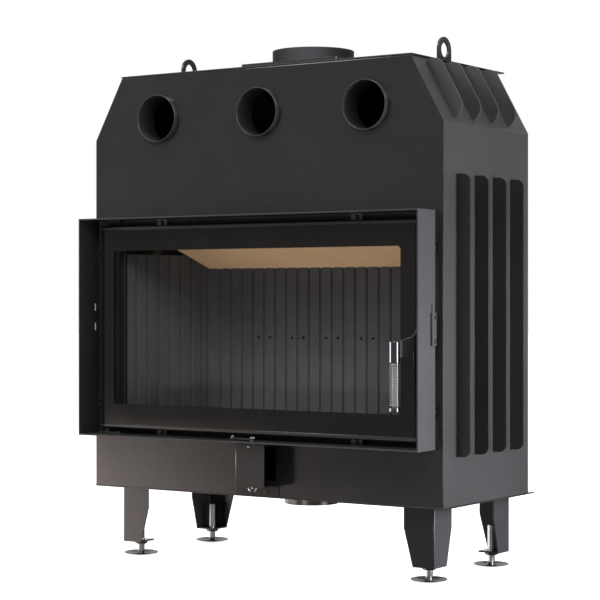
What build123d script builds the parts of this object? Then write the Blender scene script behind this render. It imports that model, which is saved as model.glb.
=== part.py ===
"""Wood-burning fireplace insert: finned steel casing, portal, glass door, lined firebox and levelling feet.

Millimetres, +Z up. X is the width, -Y the front. Every piece is drawn with Y = 0 on the front face of the
front panel, and is moved on export so that the origin lies on the floor, centred on the width and depth.
"""

from build123d import *
import os
from math import atan, cos, degrees, hypot, pi, radians, sin, sqrt, tan

os.makedirs("parts", exist_ok=True)

# ---------------------------------------------------------------- shared
pass_through = 1
nut_corner_chamfer = 0.8
rim_chamfer = 0.5

# ---------------------------------------------------------------- casing
casing_width = 890
casing_depth = 372
casing_bottom = 159
casing_top = 1065
sheet = 3
shoulder_run = 75
shoulder_drop = 136
sheet_bend = 2.6
rear_flange = 28
bottom_plate_lip = 1.5
top_plate_overlap = 3
front_return = 16
side_bend_radius = 8

# ---------------------------------------------------------------- fins
fin_count = 4
fin_pitch = 77.6
first_fin_y = 54.5
fin_thickness = 4
fin_height = 31.5
side_fin_bottom = 258
side_fin_length = 568
side_fin_corner = 17
shoulder_fin_margin = 10
shoulder_fin_corner = 27

# ---------------------------------------------------------------- collars and flue
outlet_pitch = 266.8
outlet_height = 969.5
outlet_bore_radius = 50
outlet_wall = 1.5
outlet_proud = 11
outlet_inner_length = 46
collar_flange = 11
panel_hole_clearance = 0.25
flue_y = 210
flue_radius = 90
flue_pipe_radius = 89
flue_bore = 87
flue_rise = 54.4
flue_base_width = 252
flue_base_depth = 200
flue_base_height = 22
flue_base_corner = 6
inlet_y = 203
inlet_radius = 59
inlet_wall = 2
inlet_neck_radius = 58
inlet_proud = 30

# ---------------------------------------------------------------- lifting eyes
eye_x = 335
eye_y = 200
eye_thickness = 5
eye_width = 55
eye_centre_height = 30
eye_hole_radius = 15.5

# ---------------------------------------------------------------- legs and levelling feet
leg_inset_x = 43.4
leg_front_y = 42
leg_rear_y = 369
leg_width = 72
leg_foot_width = 51
leg_straight = 47
leg_bottom = 30.6
leg_sheet = 3
leg_base_thickness = 4
leg_bend_radius = 3.5
leg_flange_inset = 1.5
rod_inset = 29
rod_radius = 8
rod_top = 89
rod_chamfer = 1.2
rod_hole_clearance = 0.5
nut_bore_clearance = 0.06
nut_height = 11.6
nut_flats = 24
pad_radius = 38
pad_rim = 2.6
pad_crown = 6.5
pad_hub_radius = 13
pad_hub_top = 12
pad_recess = 1.6
pad_hub_draft = 1

# ---------------------------------------------------------------- portal
portal_half_width = 431.8
portal_bottom = 275.1
portal_top = 751.2
portal_front = -76
portal_back = -8
tab_width = 26
tab_reach = 14
portal_tab_x = 250
portal_tab_inset_z = 75
screw_radius = 3
screw_head_radius = 5
screw_head_height = 3.5
screw_head_round = 1.7
small_head_radius = 3.5
small_head_height = 2
slot_y = -21
slot_width = 4
slot_bottoms = (505.4, 548.5)
slot_length = 16.3
keeper_bottom = 481.5
keeper_length = 65.5
keeper_slot_front = -28
keeper_slot_back = -20
keeper_back = -6.5
keeper_thickness = 2.4
keeper_lip = 7
keeper_screw_inset = 9
keeper_screw_y = -12
keeper_end_gap = 1
keeper_seat_gap = 0.5
keeper_head_radius = 4
keeper_head_height = 2.5

# ---------------------------------------------------------------- mouth, throat frame and air opening
mouth_half_width = 358
mouth_bottom = 318
mouth_top = 706
mouth_corner = 8
throat_border_side = 37
throat_border_level = 18
throat_thickness = 6
throat_corner = 5

# ---------------------------------------------------------------- door
door_half_width = 403.5
door_bottom = 290.7
door_top = 734.2
glass_front = -33
glass_thickness = 4
seal_thickness = 1
door_back = -14
door_opening_half_width = 364
door_opening_bottom = 340
door_opening_top = 684
door_opening_corner = 10
rail_height = 8.9
rail_front = -35
rail_round = 3.2
rail_lip_round = 1.2
glass_rebate = 2
glass_edge_gap = 0.4
glass_side_gap = 1.5
glass_lip_gap = 0.1
glass_chamfer = 1
seal_width = 12
gasket_radius = 5
gasket_groove_depth = 2.5
gasket_gap = 0.3
gasket_side_gap = 0.4
gasket_corner = 20

# ---------------------------------------------------------------- hinges
hinge_x = -394
hinge_y = -21
hinge_pin_radius = 4
running_clearance = 0.05
hinge_pin_depth = 16
hinge_plate_length = 54
hinge_plate_width = 24
hinge_plate_thickness = 3
hinge_end = 11
hinge_collar_radius = 7
hinge_plate_corner = 3
hinge_pin_end_gap = 2
rest_gap = 0.3

# ---------------------------------------------------------------- handle and latch
handle_x = 381
handle_y = -80
handle_radius = 10.9
handle_top = 491.3
handle_bottom = 352.4
ferrule_length = 43
cap_length = 9
handle_core_radius = 3.6
handle_chamfer = 1.2
pivot_y = -21
pivot_z = 512
shaft_radius = 4
shaft_depth = 34
shaft_end_gap = 1
bush_radius = 9
bush_length = 1.5
arm_thickness = 5
arm_boss_radius = 13
arm_end_height = 30
arm_front_run = 31
arm_bend_y = -57
arm_bend_top = 499.3
arm_lower_bend_y = -65
arm_tip_inset = 5.4
arm_top_gap = 1
arm_shoulder = 2
arm_underside_y = -27
cam_thickness = 6
cam_gap = 2
cam_boss_radius = 9
cam_reach = 24
cam_tip_radius = 5
cam_lean = 4
lip_clearance = 1
coil_wire = 2.6
coil_turns = 17
coil_end_gap = 0.6
coil_end_bend = 1.05
coil_end_rise = 0.2
coil_core_gap = 0.1
probes_per_turn = 36

# ---------------------------------------------------------------- firebox
liner_front_half = 355
liner_front_y = 10
liner_back_half = 292
liner_back_y = 215
liner_thickness = 25
liner_top = 674
rib_pitch = 30.2
groove_width = 7
groove_floor = 3
groove_depth = 4
air_hole_height = 489
air_hole_radius = 3.5
air_hole_ribs = (-5, -4, -2, -1, 1, 2, 4, 5)
hearth_top = 310
hearth_thickness = 38
plate = 4
firebox_roof = 884
slab_gap = 0.5
slab_chamfer = 7.5
baffle_rise = 25.6
baffle_rear_height = 644.5
baffle_thickness = 28
baffle_front_y = 52
baffle_side_gap = 2
bracket_y = 74
bracket_width = 26
bracket_sheet = 3
bracket_shelf = 20

# ---------------------------------------------------------------- air box and damper
air_box_left = -23.4
air_box_right = 52.3
air_box_front = -56.3
air_box_bottom = 182.5
air_box_top = 271.7
air_box_sheet = 2
air_box_bend = 6
air_box_flange_left = -58
air_opening_margin = 10
air_screw_x = 23
air_screw_z = 170
air_bolt_drop = 5
damper_x = 14.5
damper_y = -44
damper_shaft_radius = 3
damper_shaft_clearance = 0.1
damper_nut_flats = 10
damper_nut_height = 4
flap_length = 33
flap_thickness = 1.5
flap_end_gap = 4
lever_bottom = 280.5
lever_thickness = 2.5
lever_width = 11
lever_length = 55.5
knob_radius = 4.5
knob_height = 5
knob_round = 1.8
portal_hole_radius = 8
wing_nut_radius = 5.5
wing_nut_height = 6
wing_span = 13
wing_height = 11
wing_thickness = 2
wing_nut_taper = 0.75
wing_root = 3.3
wing_root_drop = 1
wing_tip_width = 5
wing_tip_drop = 1.5
wing_foot = 0.5
shaft_end = 2
spacer_wall = 2

# ---------------------------------------------------------------- worked out
half = casing_width / 2
top_half = half - shoulder_run
shoulder_bottom = casing_top - shoulder_drop
shoulder_slant = hypot(shoulder_run, shoulder_drop)
shoulder_across = sheet * shoulder_slant / shoulder_drop
back_inner = casing_depth - sheet
top_plate_top = casing_top + sheet
plate_back = casing_depth + rear_flange
bottom_plate_bottom = casing_bottom - sheet
flue_base_top = top_plate_top + flue_base_height
flue_top = casing_top + flue_rise
flue_hole = flue_pipe_radius + panel_hole_clearance
portal_inner = portal_half_width - sheet
frame_front = glass_front + glass_thickness + seal_thickness
splay = (liner_front_half - liner_back_half) / (liner_back_y - liner_front_y)
liner_shift = liner_thickness * sqrt(1 + splay**2)
plate_shift = plate * sqrt(1 + splay**2)
liner_back_face = liner_back_y + liner_thickness
baffle_slope = tan(radians(baffle_rise))
front_most = handle_y - handle_radius
origin_y = (front_most + plate_back) / 2
fin_ys = [first_fin_y + i * fin_pitch for i in range(fin_count)]


# ---------------------------------------------------------------- helpers
def block(x0, x1, y0, y1, z0, z1):
    """Box between two corners."""
    return Pos((x0 + x1) / 2, (y0 + y1) / 2, (z0 + z1) / 2) * Box(x1 - x0, y1 - y0, z1 - z0)


def rect(a0, a1, b0, b1):
    """Rectangle between two corners of the drawing plane."""
    return Pos((a0 + a1) / 2, (b0 + b1) / 2) * Rectangle(a1 - a0, b1 - b0)


def rounded_rect(a0, a1, b0, b1, radius):
    """Rectangle between two corners, with round corners."""
    return Pos((a0 + a1) / 2, (b0 + b1) / 2) * RectangleRounded(a1 - a0, b1 - b0, radius)


def front_plate(face, y_front, thickness):
    """Plate facing the front: a face drawn in X and Z, given its thickness backwards from y_front."""
    return Pos(0, y_front + thickness, 0) * extrude(Plane.XZ * face, amount=thickness)


def side_plate(face, x_low, thickness):
    """Plate facing the side: a face drawn in Y and Z, given its thickness towards +X from x_low."""
    return Pos(x_low, 0, 0) * extrude(Plane.YZ * face, amount=thickness)


def level_plate(face, z_low, thickness):
    """Level plate: a face drawn in X and Y, given its thickness upwards from z_low."""
    return Pos(0, 0, z_low) * extrude(face, amount=thickness)


def rod_x(radius, x0, x1, y, z):
    """Round bar along X."""
    return Pos((x0 + x1) / 2, y, z) * Rot(0, 90, 0) * Cylinder(radius, x1 - x0)


def rod_y(radius, x, y0, y1, z):
    """Round bar along Y."""
    return Pos(x, (y0 + y1) / 2, z) * Rot(90, 0, 0) * Cylinder(radius, y1 - y0)


def rod_z(radius, x, y, z0, z1):
    """Round bar along Z."""
    return Pos(x, y, (z0 + z1) / 2) * Cylinder(radius, z1 - z0)


def hex_nut(flats, height, bore, x, y, z):
    """Hexagon nut standing on z, with a plain bore and chamfered corners."""
    prism = extrude(RegularPolygon(flats / 2, 6, major_radius=False), amount=height)
    corner = flats / sqrt(3)
    turned = Pos(0, 0, height / 2) * Cylinder(corner, height)
    turned = chamfer(turned.edges().filter_by(GeomType.CIRCLE), (corner - flats / 2) * nut_corner_chamfer)
    hole = rod_z(bore, 0, 0, -pass_through, height + pass_through)
    return Pos(x, y, z) * ((prism & turned) - hole)


def mirrored(part):
    """The same part on the other side of the middle."""
    return mirror(part, about=Plane.YZ)


def save(part, name):
    """Write a part, moved to the origin under the middle of the insert."""
    solid = Pos(0, -origin_y, 0) * part
    solid.label = name
    export_step(solid, f"parts/{name}.step")


# ---------------------------------------------------------------- casing panels
def casing_outline():
    """Front view of the casing, with its chamfered shoulders."""
    return Polygon(
        (-half, casing_bottom),
        (half, casing_bottom),
        (half, shoulder_bottom),
        (top_half, casing_top),
        (-top_half, casing_top),
        (-half, shoulder_bottom),
        align=None,
    )


def mouth_face():
    return rounded_rect(-mouth_half_width, mouth_half_width, mouth_bottom, mouth_top, mouth_corner)


def outlet_xs():
    return (-outlet_pitch, 0, outlet_pitch)


def make_front_panel():
    """Front panel with the return along its top edge, the mouth, the outlet holes and the air opening."""
    face = casing_outline() - mouth_face()
    collar_radius = outlet_bore_radius + outlet_wall + panel_hole_clearance
    for x in outlet_xs():
        face -= Pos(x, outlet_height) * Circle(collar_radius)
    m = air_opening_margin
    face -= rect(air_box_left + m, air_box_right - m, air_box_bottom + m, air_box_top - m)
    panel = front_plate(face, 0, sheet)
    end = top_half - shoulder_across - panel_hole_clearance
    panel += block(-end, end, sheet, front_return, casing_top - sheet, casing_top)
    top_edges = panel.edges().filter_by(Axis.X).group_by(Axis.Z)[-1].sort_by(Axis.Y)
    return fillet(top_edges[0], sheet_bend)


def side_panel_face():
    """Section of a side panel and its bent shoulder, in X and Z."""
    inner_knee = sheet * (shoulder_slant - shoulder_drop) / shoulder_run
    return Polygon(
        (half, casing_bottom),
        (half, shoulder_bottom),
        (top_half, casing_top),
        (top_half - shoulder_across, casing_top),
        (half - sheet, shoulder_bottom - inner_knee),
        (half - sheet, casing_bottom),
        align=None,
    )


def make_side_panel():
    """Right side panel: one sheet bent over the shoulder."""
    panel = front_plate(side_panel_face(), sheet, back_inner - sheet)
    bends = panel.edges().filter_by(Axis.Y)
    knee = [e for e in bends if hypot(e.center().X - half, e.center().Z - shoulder_bottom) < 0.01]
    return fillet(knee, side_bend_radius)


def make_back_panel():
    return front_plate(casing_outline(), back_inner, sheet)


def make_top_plate():
    """Top plate with its overhang at the back and the flue hole."""
    reach = top_half + top_plate_overlap
    face = rect(-reach, reach, 0, plate_back) - Pos(0, flue_y) * Circle(flue_hole)
    return level_plate(face, casing_top, sheet)


def make_bottom_plate():
    """Bottom plate, just proud of the sides, with the combustion-air hole."""
    reach = half + bottom_plate_lip
    hole = Pos(0, inlet_y) * Circle(inlet_neck_radius + panel_hole_clearance)
    return level_plate(rect(-reach, reach, 0, plate_back) - hole, bottom_plate_bottom, sheet)


# ---------------------------------------------------------------- fins
def make_side_fins():
    """Upright fins on the right side, with their outer corners rounded."""
    outline = rect(half, half + fin_height, side_fin_bottom, side_fin_bottom + side_fin_length)
    outline = fillet(outline.vertices().group_by(Axis.X)[-1], side_fin_corner)
    return [front_plate(outline, y, fin_thickness) for y in fin_ys]


def make_shoulder_fins():
    """Fins on the slope of the right shoulder, with their outer corners rounded."""
    along = Vector(-shoulder_run / shoulder_slant, shoulder_drop / shoulder_slant)
    out = Vector(shoulder_drop / shoulder_slant, shoulder_run / shoulder_slant)
    foot = Vector(half, shoulder_bottom)
    corners = [
        foot + along * shoulder_fin_margin,
        foot + along * shoulder_fin_margin + out * fin_height,
        foot + along * (shoulder_slant - shoulder_fin_margin) + out * fin_height,
        foot + along * (shoulder_slant - shoulder_fin_margin),
    ]
    outline = Polygon(*[(c.X, c.Y) for c in corners], align=None)
    tips = [v for v in outline.vertices() if min((Vector(v) - c).length for c in corners[1:3]) < 0.01]
    outline = fillet(tips, shoulder_fin_corner)
    below_top = rect(0, casing_width, 0, casing_top)
    return [front_plate(outline & below_top, y, fin_thickness) for y in fin_ys]


# ---------------------------------------------------------------- collars, flue and eyes
def make_outlet(x):
    """Hot-air outlet through the front panel, its flange against the back of the sheet."""
    outer = outlet_bore_radius + outlet_wall
    section = rect(outlet_bore_radius, outer, -outlet_inner_length, outlet_proud)
    section += rect(outlet_bore_radius, outer + collar_flange, -sheet - outlet_wall, -sheet)
    ring = revolve(Plane.XZ * section, Axis.Z)
    rim = ring.edges().filter_by(GeomType.CIRCLE).group_by(Axis.Z)[-1]
    return Pos(x, 0, outlet_height) * Rot(90, 0, 0) * chamfer(rim, rim_chamfer)


def make_flue_base():
    """Raised square pan that the flue collar stands in."""
    hw = flue_base_width / 2
    hd = flue_base_depth / 2
    pan = block(-hw, hw, flue_y - hd, flue_y + hd, top_plate_top, flue_base_top)
    pan = fillet(pan.edges().filter_by(Axis.Z), flue_base_corner)
    iw = hw - sheet
    iy = hd - sheet
    inner = block(-iw, iw, flue_y - iy, flue_y + iy, 0, flue_base_top - sheet)
    hole = rod_z(flue_hole, 0, flue_y, top_plate_top, flue_base_top + sheet)
    return pan - inner - hole


def make_flue_collar():
    """Flue pipe from the firebox roof, with the wider spigot that stands on the flue base."""
    section = rect(flue_bore, flue_pipe_radius, firebox_roof, flue_top)
    section += rect(flue_bore, flue_radius, flue_base_top, flue_top)
    tube = revolve(Plane.XZ * section, Axis.Z)
    rim = tube.edges().filter_by(GeomType.CIRCLE).group_by(Axis.Z)[-1]
    return Pos(0, flue_y, 0) * chamfer(rim, rim_chamfer)


def make_air_inlet():
    """Combustion-air collar under the bottom plate, its neck through the plate and its flange on top."""
    bore = inlet_radius - inlet_wall
    section = rect(bore, inlet_radius, bottom_plate_bottom - inlet_proud, bottom_plate_bottom)
    section += rect(bore, inlet_neck_radius, bottom_plate_bottom, casing_bottom)
    section += rect(bore, inlet_radius + collar_flange, casing_bottom, casing_bottom + inlet_wall)
    return Pos(0, inlet_y, 0) * revolve(Plane.XZ * section, Axis.Z)


def make_eye(x):
    """Lifting eye on the top plate."""
    centre = top_plate_top + eye_centre_height
    face = rect(eye_y - eye_width / 2, eye_y + eye_width / 2, top_plate_top, centre)
    face += Pos(eye_y, centre) * Circle(eye_width / 2)
    face -= Pos(eye_y, centre) * Circle(eye_hole_radius)
    return side_plate(face, x - eye_thickness / 2, eye_thickness)


# ---------------------------------------------------------------- legs and feet
def leg_corner(side, rear):
    """Outer corner of a leg in X and Y."""
    return side * (half - leg_inset_x), leg_rear_y if rear else leg_front_y


def leg_wing_face():
    """One wing of a leg, drawn outwards from its corner: straight at the top, tapered to the foot."""
    knee = bottom_plate_bottom - leg_straight
    return Polygon(
        (0, leg_bottom),
        (leg_foot_width, leg_bottom),
        (leg_width, knee),
        (leg_width, bottom_plate_bottom),
        (0, bottom_plate_bottom),
        align=None,
    )


def make_leg(side, rear):
    """Folded leg: two wings, a foot plate with the rod hole and a fixing flange under the casing."""
    leg = front_plate(leg_wing_face(), 0, leg_sheet) + side_plate(leg_wing_face(), 0, leg_sheet)
    fold = [e for e in leg.edges().filter_by(Axis.Z) if hypot(e.center().X, e.center().Y) < 0.01]
    leg = fillet(fold, leg_bend_radius)
    inside = leg_foot_width - leg_flange_inset
    flange = leg_width - leg_flange_inset
    leg += block(leg_sheet, inside, leg_sheet, inside, leg_bottom, leg_bottom + leg_base_thickness)
    leg += block(leg_sheet, flange, leg_sheet, flange, bottom_plate_bottom - leg_sheet, bottom_plate_bottom)
    hole_top = leg_bottom + leg_base_thickness + pass_through
    leg -= rod_z(rod_radius + rod_hole_clearance, rod_inset, rod_inset, 0, hole_top)
    if side > 0:
        leg = mirror(leg, about=Plane.YZ)
    if rear:
        leg = mirror(leg, about=Plane.XZ)
    x, y = leg_corner(side, rear)
    return Pos(x, y, 0) * leg


def rod_place(side, rear):
    """Centre of a foot's rod in X and Y."""
    x, y = leg_corner(side, rear)
    return x - side * rod_inset, y + (-rod_inset if rear else rod_inset)


def make_lock_nut(side, rear):
    x, y = rod_place(side, rear)
    return hex_nut(nut_flats, nut_height, rod_radius + nut_bore_clearance, x, y, leg_bottom - nut_height)


def make_foot_rod(side, rear):
    """Threaded rod of a levelling foot, standing on the pad's hub floor."""
    x, y = rod_place(side, rear)
    rod = rod_z(rod_radius, x, y, pad_crown, rod_top)
    return chamfer(rod.edges().filter_by(GeomType.CIRCLE).group_by(Axis.Z)[-1], rod_chamfer)


def make_foot_pad(side, rear):
    """Pressed pad: flat rim, shallow dish and a hub round the rod."""
    shoulder = (pad_radius + pad_hub_radius) / 2
    section = Polygon(
        (0, pad_recess),
        (pad_hub_radius, pad_recess),
        (shoulder, 0),
        (pad_radius, 0),
        (pad_radius, pad_rim),
        (shoulder, pad_rim),
        (pad_hub_radius, pad_crown),
        (pad_hub_radius - pad_hub_draft, pad_hub_top),
        (rod_radius, pad_hub_top),
        (rod_radius, pad_crown),
        (0, pad_crown),
        align=None,
    )
    return Pos(*rod_place(side, rear), 0) * revolve(Plane.XZ * section, Axis.Z)


# ---------------------------------------------------------------- portal
def tab_places():
    """Each fixing tab of the portal: centre in X and Z, and whether it reaches inwards along X or Z."""
    upper = portal_top - sheet - tab_reach / 2
    lower = portal_bottom + sheet + tab_reach / 2
    outer = portal_inner - tab_reach / 2
    places = [(s * portal_tab_x, z, False) for s in (-1, 1) for z in (lower, upper)]
    for s in (-1, 1):
        for z in (portal_bottom + portal_tab_inset_z, portal_top - portal_tab_inset_z):
            places.append((s * outer, z, True))
    return places


def make_portal_frame():
    """Folded sheet tunnel round the door, with fixing tabs, latch slots and the damper shaft's hole."""
    outer = rect(-portal_half_width, portal_half_width, portal_bottom, portal_top)
    inner = rect(-portal_inner, portal_inner, portal_bottom + sheet, portal_top - sheet)
    frame = front_plate(outer - inner, portal_front, portal_back - portal_front)
    for x, z, sideways in tab_places():
        w, h = (tab_reach, tab_width) if sideways else (tab_width, tab_reach)
        tab = block(x - w / 2, x + w / 2, portal_back - sheet, portal_back, z - h / 2, z + h / 2)
        frame += tab - rod_y(screw_radius, x, portal_back - 2 * sheet, 0, z)
    reach = portal_half_width + sheet
    y0, y1 = slot_y - slot_width / 2, slot_y + slot_width / 2
    upper_slot = slot_bottoms[-1]
    for z in slot_bottoms:
        frame -= block(-reach, 0, y0, y1, z, z + slot_length)
    frame -= block(0, reach, y0, y1, upper_slot, upper_slot + slot_length)
    keeper_top = keeper_bottom + keeper_length
    frame -= block(0, reach, keeper_slot_front, keeper_slot_back, keeper_bottom, keeper_top)
    frame -= rod_z(portal_hole_radius, damper_x, damper_y, 0, portal_bottom + 2 * sheet)
    return frame


def keeper_screw_heights():
    return (keeper_bottom + keeper_screw_inset, keeper_bottom + keeper_length - keeper_screw_inset)


def make_latch_keeper():
    """Keeper plate on the right wall of the portal, its lip bent in through the long slot."""
    z0, z1 = keeper_bottom, keeper_bottom + keeper_length
    outer_x = portal_half_width + keeper_thickness
    lip_x = portal_inner - keeper_lip
    lip_back = keeper_slot_back - keeper_seat_gap
    keeper = block(portal_half_width, outer_x, lip_back, keeper_back, z0, z1)
    g = keeper_end_gap
    keeper += block(lip_x, outer_x, lip_back - keeper_thickness, lip_back, z0 + g, z1 - g)
    return keeper


def make_portal_spacers():
    """Bushes that hold the portal clear of the front panel."""
    bushes = []
    for x, z, _ in tab_places():
        hole = rod_y(screw_radius, x, portal_back - pass_through, pass_through, z)
        bushes.append(rod_y(tab_reach / 2, x, portal_back, 0, z) - hole)
    return bushes


def screw_y(x, y, z, length):
    """Pan-head screw along +Y, the underside of its head at y."""
    head = rod_y(screw_head_radius, x, y - screw_head_height, y, z)
    head = fillet(head.edges().filter_by(GeomType.CIRCLE).group_by(Axis.Y)[0], screw_head_round)
    return head + rod_y(screw_radius, x, y, y + length, z)


def make_portal_screws():
    """Screws through the tabs and bushes to the front panel."""
    tab_front = portal_back - sheet
    return [screw_y(x, tab_front, z, -tab_front) for x, z, _ in tab_places()]


def make_small_screws():
    """Screws of the keeper, the hinge plates and the air box, as separate solids."""
    screws = []
    for z in keeper_screw_heights():
        head_x = portal_half_width + keeper_thickness
        head = rod_x(keeper_head_radius, head_x, head_x + keeper_head_height, keeper_screw_y, z)
        screws.append(fillet(head.edges().filter_by(GeomType.CIRCLE).group_by(Axis.X)[-1], rim_chamfer))
    x = hinge_x - hinge_end + hinge_plate_length - hinge_end
    low = portal_bottom + sheet + hinge_plate_thickness
    high = portal_top - sheet - hinge_plate_thickness
    for z0, z1, top in ((low, low + screw_head_height, True), (high - screw_head_height, high, False)):
        head = rod_z(screw_head_radius, x, hinge_y, z0, z1)
        rim = head.edges().filter_by(GeomType.CIRCLE).group_by(Axis.Z)[-1 if top else 0]
        screws.append(fillet(rim, screw_head_round))
    bolt_z = air_box_top - air_bolt_drop
    for x, y, z in ((air_screw_x, -air_box_sheet, air_screw_z), (damper_x, air_box_front, bolt_z)):
        screws.append(rod_y(small_head_radius, x, y - small_head_height, y, z))
    return screws


def make_throat_frame():
    """Flat ring round the mouth that the door's gasket closes on."""
    w = mouth_half_width + throat_border_side
    z0, z1 = mouth_bottom - throat_border_level, mouth_top + throat_border_level
    ring = rounded_rect(-w, w, z0, z1, throat_corner) - mouth_face()
    return front_plate(ring, -throat_thickness, throat_thickness)


# ---------------------------------------------------------------- door
def gasket_path_face(grow=0.0):
    """Rounded rectangle along the middle of the throat ring."""
    w = mouth_half_width + throat_border_side / 2 + grow
    z0 = mouth_bottom - throat_border_level / 2 - grow
    z1 = mouth_top + throat_border_level / 2 + grow
    return rounded_rect(-w, w, z0, z1, gasket_corner + grow)


def make_door_frame():
    """Door frame: flat ring, gasket groove, and round-nosed rails that hold the glass above and below."""
    outer = rect(-door_half_width, door_half_width, door_bottom, door_top)
    w = door_opening_half_width
    opening = rounded_rect(-w, w, door_opening_bottom, door_opening_top, door_opening_corner)
    frame = front_plate(outer - opening, frame_front, door_back - frame_front)
    seat_top = door_top - rail_height + glass_rebate + glass_edge_gap
    seat_bottom = door_bottom + rail_height - glass_rebate - glass_edge_gap
    frame += rail(seat_top, door_top, door_top - rail_height, True)
    frame += rail(door_bottom, seat_bottom, door_bottom + rail_height, False)
    half_groove = gasket_radius + gasket_side_gap
    groove = gasket_path_face(half_groove) - gasket_path_face(-half_groove)
    frame -= front_plate(groove, door_back - gasket_groove_depth, gasket_groove_depth + 1)
    bore = hinge_pin_radius + running_clearance
    frame -= rod_z(bore, hinge_x, hinge_y, door_bottom - pass_through, door_bottom + hinge_pin_depth)
    frame -= rod_z(bore, hinge_x, hinge_y, door_top - hinge_pin_depth, door_top + pass_through)
    frame += rod_x(bush_radius, door_half_width, door_half_width + bush_length, pivot_y, pivot_z) & block(
        0, half, frame_front, door_back, door_bottom, door_top
    )
    shaft = shaft_radius + running_clearance
    shaft_end = door_half_width + bush_length + pass_through
    frame -= rod_x(shaft, door_half_width - shaft_depth, shaft_end, pivot_y, pivot_z)
    return frame


def rail(z0, z1, lip_edge, upper):
    """Rail along the door: a bar behind and a lip that overlaps the edge of the glass."""
    w = door_half_width
    bar = block(-w, w, rail_front, frame_front, z0, z1)
    lip_z = (lip_edge, z1) if upper else (z0, lip_edge)
    bar += block(-w, w, rail_front, glass_front - glass_lip_gap, *lip_z)
    outer = bar.edges().filter_by(Axis.X).group_by(Axis.Y)[0].sort_by(Axis.Z)[-1 if upper else 0]
    bar = fillet(outer, rail_round)
    inner = bar.edges().filter_by(Axis.X).group_by(Axis.Y)[0].sort_by(Axis.Z)[0 if upper else -1]
    return fillet(inner, rail_lip_round)


def make_door_glass():
    """Ceramic glass over the whole face of the door between the rails."""
    w = door_half_width - glass_side_gap
    z0 = door_bottom + rail_height - glass_rebate
    z1 = door_top - rail_height + glass_rebate
    glass = block(-w, w, glass_front, glass_front + glass_thickness, z0, z1)
    upright = glass.edges().filter_by(Axis.Z).group_by(Axis.Y)[0]
    return chamfer(upright, glass_chamfer)


def make_glass_seal():
    """Flat seal tape between the glass and the frame, round the window."""
    w = door_opening_half_width + seal_width
    z0, z1 = door_opening_bottom - seal_width, door_opening_top + seal_width
    inner = rect(-door_opening_half_width, door_opening_half_width, door_opening_bottom, door_opening_top)
    tape = rect(-w, w, z0, z1) - inner
    return front_plate(tape, glass_front + glass_thickness, seal_thickness)


def make_door_gasket():
    """Rope gasket in the groove of the door frame."""
    centre_y = -throat_thickness - gasket_gap - gasket_radius
    wire = (Pos(0, centre_y, 0) * (Plane.XZ * gasket_path_face())).face().outer_wire()
    start = wire @ 0
    section = Plane(origin=start, z_dir=wire % 0) * Circle(gasket_radius)
    return sweep(section, path=wire, transition=Transition.RIGHT)


# ---------------------------------------------------------------- hinges
def make_hinge_bracket(top):
    """Hinge plate on the portal with its pin; the lower one has the collar that carries the door."""
    x0 = hinge_x - hinge_end
    y0, y1 = hinge_y - hinge_plate_width / 2, hinge_y + hinge_plate_width / 2
    face = rounded_rect(x0, x0 + hinge_plate_length, y0, y1, hinge_plate_corner)
    if top:
        seat = portal_top - sheet - hinge_plate_thickness
        pin_end = door_top - hinge_pin_depth + hinge_pin_end_gap
        pin = rod_z(hinge_pin_radius, hinge_x, hinge_y, pin_end, seat)
        return level_plate(face, seat, hinge_plate_thickness) + pin
    seat = portal_bottom + sheet
    pin = rod_z(hinge_pin_radius, hinge_x, hinge_y, seat, door_bottom + hinge_pin_depth - hinge_pin_end_gap)
    collar_ring = rod_z(hinge_collar_radius, hinge_x, hinge_y, seat, door_bottom - rest_gap)
    return level_plate(face, seat, hinge_plate_thickness) + collar_ring + pin


# ---------------------------------------------------------------- handle and latch
def arm_x():
    """Inner face of the arm beside the door's edge."""
    return door_half_width + bush_length + rest_gap


def make_handle_shaft():
    """Shaft from inside the door's edge through the arm to the cam, with a riveted head."""
    x0 = door_half_width - shaft_depth + shaft_end_gap
    x1 = portal_inner - keeper_lip - lip_clearance
    return rod_x(shaft_radius, x0, x1, pivot_y, pivot_z)


def make_handle_arm():
    """Flat bar from the shaft down and forwards, bent in front of the glass to the handle."""
    x = arm_x() + arm_thickness / 2
    end_x = handle_x + arm_tip_inset
    back = pivot_y + arm_boss_radius + arm_shoulder
    route = Polyline((x, back), (x, pivot_y - arm_front_run), (end_x, handle_y))
    band = trace(route, arm_thickness)
    plan = level_plate(band, handle_bottom, casing_top - handle_bottom)
    upper = handle_top - arm_top_gap
    side = Pos(pivot_y, pivot_z) * Circle(arm_boss_radius)
    side += Polygon(
        (pivot_y - arm_shoulder, pivot_z + arm_boss_radius),
        (arm_bend_y, arm_bend_top),
        (handle_y, upper),
        (handle_y, upper - arm_end_height),
        (arm_lower_bend_y, upper - arm_end_height),
        (arm_underside_y, pivot_z - arm_boss_radius),
        align=None,
    )
    arm = plan & side_plate(side, 0, casing_width)
    arm -= rod_z(handle_radius, handle_x, handle_y, handle_bottom, handle_top + arm_end_height)
    return arm - rod_x(shaft_radius, handle_x, portal_half_width, pivot_y, pivot_z)


def make_latch_cam():
    """Latch cam on the shaft: a boss with a hooked finger behind the keeper's lip."""
    x0 = arm_x() + arm_thickness + cam_gap
    face = Pos(pivot_y, pivot_z) * Circle(cam_boss_radius)
    tip = (pivot_y - cam_lean, pivot_z - cam_reach)
    face += Polygon(
        (pivot_y - cam_boss_radius, pivot_z),
        (tip[0] - cam_tip_radius, tip[1]),
        (tip[0] + cam_tip_radius, tip[1]),
        (pivot_y + cam_boss_radius, pivot_z),
        align=None,
    )
    face += Pos(*tip) * Circle(cam_tip_radius)
    boss = rod_x(cam_boss_radius, arm_x() + arm_thickness, x0, pivot_y, pivot_z)
    cam = side_plate(face, x0, cam_thickness) + boss
    return cam - rod_x(shaft_radius, handle_x, portal_half_width, pivot_y, pivot_z)


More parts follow.
